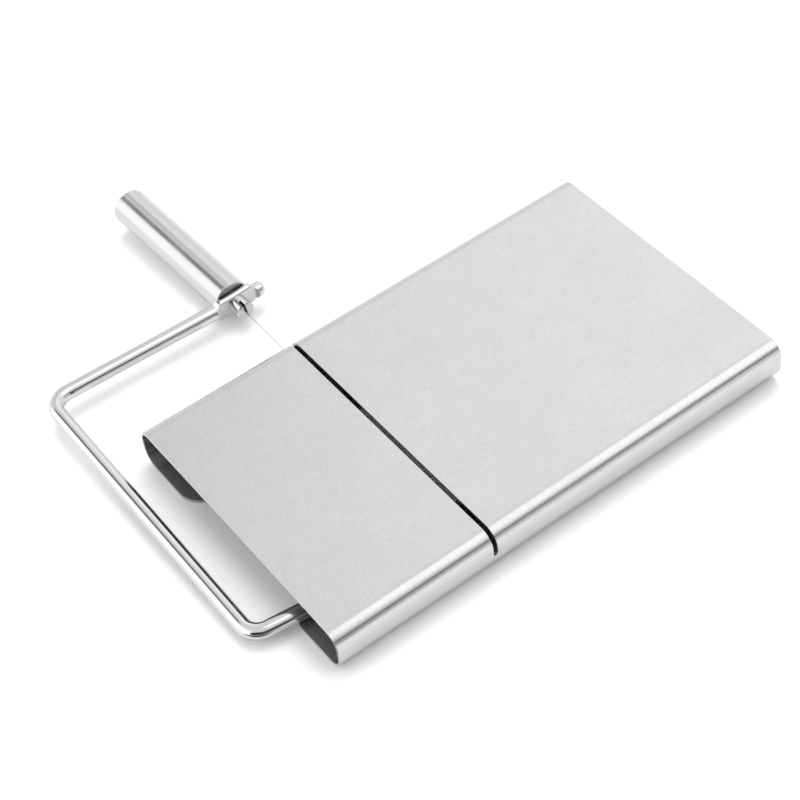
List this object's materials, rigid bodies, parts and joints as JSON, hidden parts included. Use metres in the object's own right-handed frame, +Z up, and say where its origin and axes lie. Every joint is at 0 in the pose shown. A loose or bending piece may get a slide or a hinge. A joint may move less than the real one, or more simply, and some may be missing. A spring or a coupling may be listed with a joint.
{
  "type": "wire cheese slicer",
  "caption": "Folded steel cutting board with a cross slot and a hinged rod arm that pulls a tight wire through it, with a round handle that tightens the wire.",
  "frame": {"origin": "middle of the whole part's footprint with the arm closed, on the surface that the board stands on", "axes": "+X along the board, from the crossbar's end to the far end; +Y from the hinge side to the handle; +Z up"},
  "size_m": [0.2228, 0.2392, 0.0183],
  "materials": {
    "satin_sheet_steel": "stainless sheet with a fine satin grain",
    "strap_steel": "cold-rolled stainless strip",
    "polished_rod_steel": "polished stainless round bar",
    "spring_steel": "bright drawn stainless spring wire",
    "cutting_wire_steel": "bright drawn stainless wire",
    "nipple_steel": "swaged stainless",
    "bolt_steel": "turned and polished stainless",
    "handle_steel": "stainless tube, polished along its length",
    "bush_steel": "turned stainless"
  },
  "bodies": {
    "base": {"board": "satin_sheet_steel", "left_bearing_strap": "strap_steel", "right_bearing_strap": "strap_steel"},
    "arm": {"arm_rod": "polished_rod_steel", "inner_retaining_ring": "spring_steel", "outer_retaining_ring": "spring_steel", "cutting_wire": "cutting_wire_steel", "pivot_nipple": "nipple_steel"},
    "bolt": {"tension_bolt": "bolt_steel", "bolt_nipple": "nipple_steel"},
    "handle": {"handle_tube": "handle_steel", "handle_insert": "bush_steel", "handle_end_cap": "handle_steel"}
  },
  "joints": [
    {"name": "arm_hinge", "type": "hinge", "parent": "base", "child": "arm", "pos_m": [-0.02432, -0.09358, 0.00498], "axis": [1, 0, 0], "range_deg": [0, 169]},
    {"name": "handle_spin", "type": "hinge", "parent": "arm", "child": "handle", "pos_m": [-0.02432, 0.04437, 0.00857], "axis": [-0.0401, 0.9989, 0.026], "range_deg": [0, 1440]},
    {"name": "tension_bolt_slide", "type": "slide", "parent": "arm", "child": "bolt", "axis": [-0.0401, 0.9989, 0.026], "range_m": [-0.0028, 0], "deforming": ["cutting_wire"]}
  ],
  "couplings": [
    {"joint": "handle_spin", "follows": "tension_bolt_slide", "rad_per_m": -8976}
  ]
}
